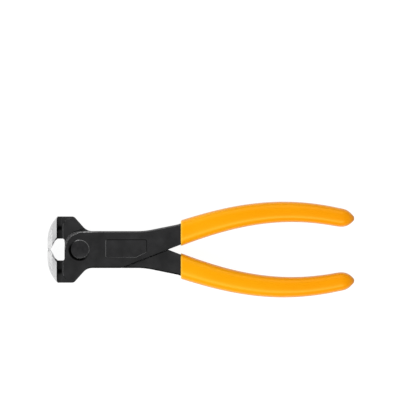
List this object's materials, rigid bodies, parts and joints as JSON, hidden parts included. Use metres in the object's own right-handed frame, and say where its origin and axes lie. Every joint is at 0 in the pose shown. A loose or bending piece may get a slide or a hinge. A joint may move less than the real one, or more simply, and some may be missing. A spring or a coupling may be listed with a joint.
{
  "type": "end cutting nippers",
  "caption": "End cutting nippers with wide crowned jaws across the end, a riveted lap joint and two curved dipped grips, shown shut; the halves turn on the rivet.",
  "frame": {"origin": "the pivot axis at the flat back face of the joint, which is also the flush tail of the rivet", "axes": "+X along the tool towards the handle ends, +Z out of the front face through the rivet's head, +Y towards the upper grip"},
  "size_m": [0.18, 0.0562, 0.0216],
  "materials": {
    "black_steel": "black oxide over forged steel, satin; the jaws' outer faces are ground bare, and the lapping faces machined bare",
    "rivet_steel": "black oxide, slightly glossier than the halves",
    "grip_vinyl": "dipped orange-yellow vinyl, soft satin"
  },
  "bodies": {
    "back": {"back_half": "black_steel", "pivot_rivet": "rivet_steel", "lower_grip": "grip_vinyl"},
    "front": {"front_half": "black_steel", "upper_grip": "grip_vinyl"}
  },
  "joints": [
    {"name": "pivot", "type": "hinge", "parent": "back", "child": "front", "pos_m": [0, 0, 0.005], "axis": [0, 0, 1], "range_deg": [0, 20]}
  ]
}
